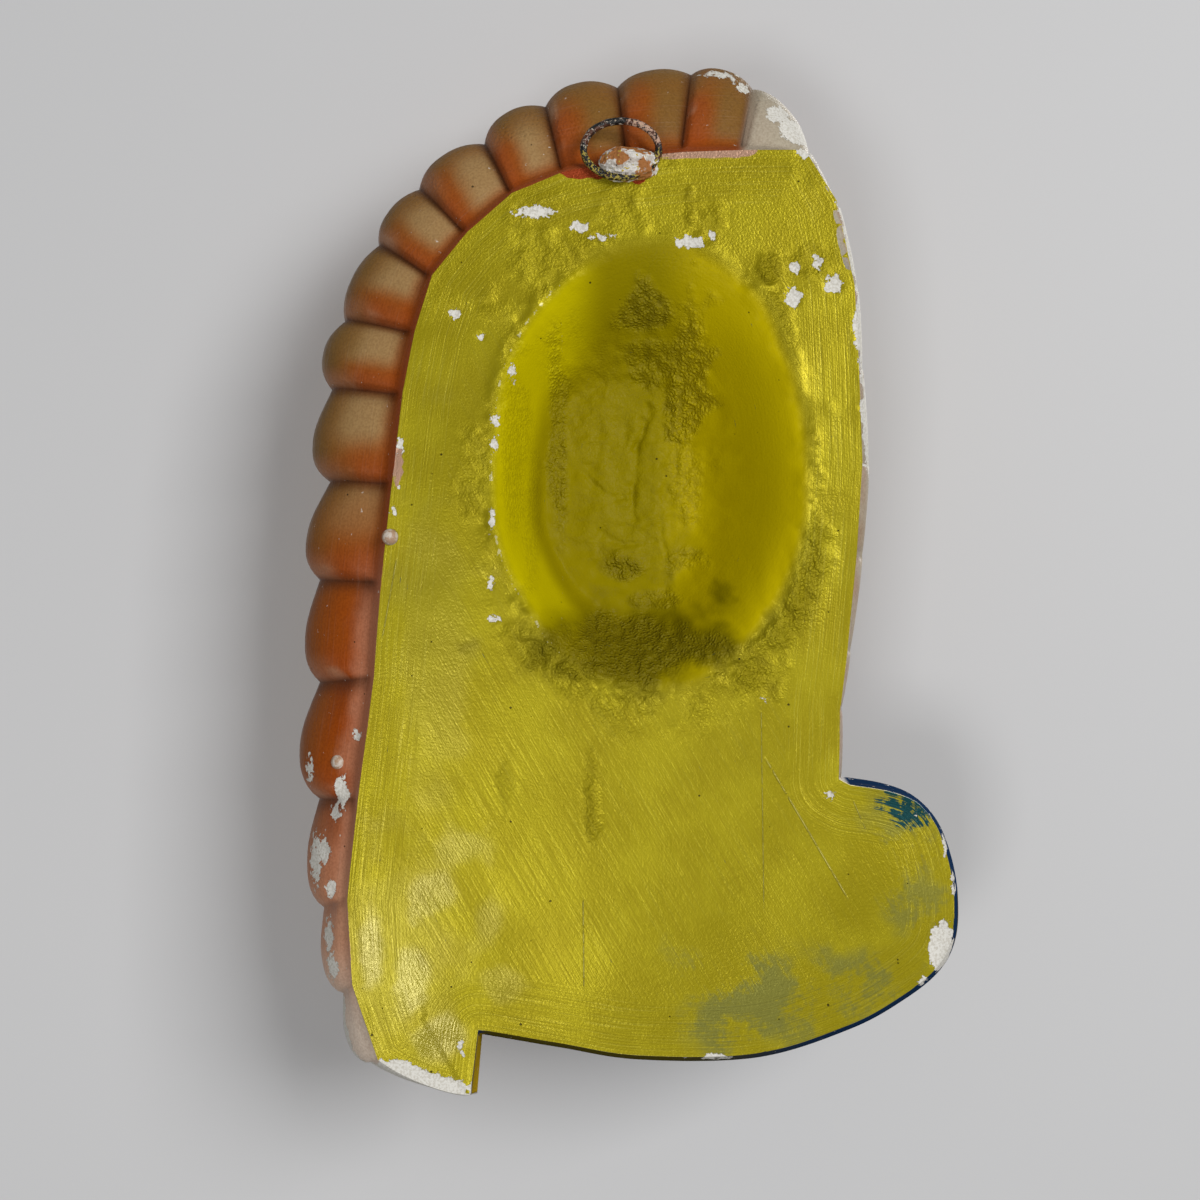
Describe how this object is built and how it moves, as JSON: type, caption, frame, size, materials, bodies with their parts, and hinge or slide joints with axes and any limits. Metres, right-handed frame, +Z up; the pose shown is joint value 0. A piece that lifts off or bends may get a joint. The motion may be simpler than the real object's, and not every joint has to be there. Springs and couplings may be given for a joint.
{
  "type": "plaster wall bust",
  "caption": "Painted plaster wall plaque of a head and shoulder in a feather bonnet, flat hollowed back, hung by a wire ring.",
  "frame": {"origin": "top inner edge of the hanging ring, where it rests on its nail, in the plane of the wall", "axes": "+Z up as it hangs, +Y out of the flat back into the wall, the carved front looks towards -Y and +X is to the right of someone who faces it"},
  "size_m": [0.1909, 0.0814, 0.2972],
  "materials": {
    "painted_plaster": "thick yellow, terracotta and navy paint on cast plaster, satin, brushed and chipped",
    "bare_plaster": "bare white plaster with orange paint traces, matt",
    "black_wire": "dark iron wire with flecks of yellow and white paint"
  },
  "bodies": {
    "root": {"plaster_bust": "painted_plaster", "hanger_plaster": "bare_plaster", "hanger_ring": "black_wire"}
  },
  "joints": []
}
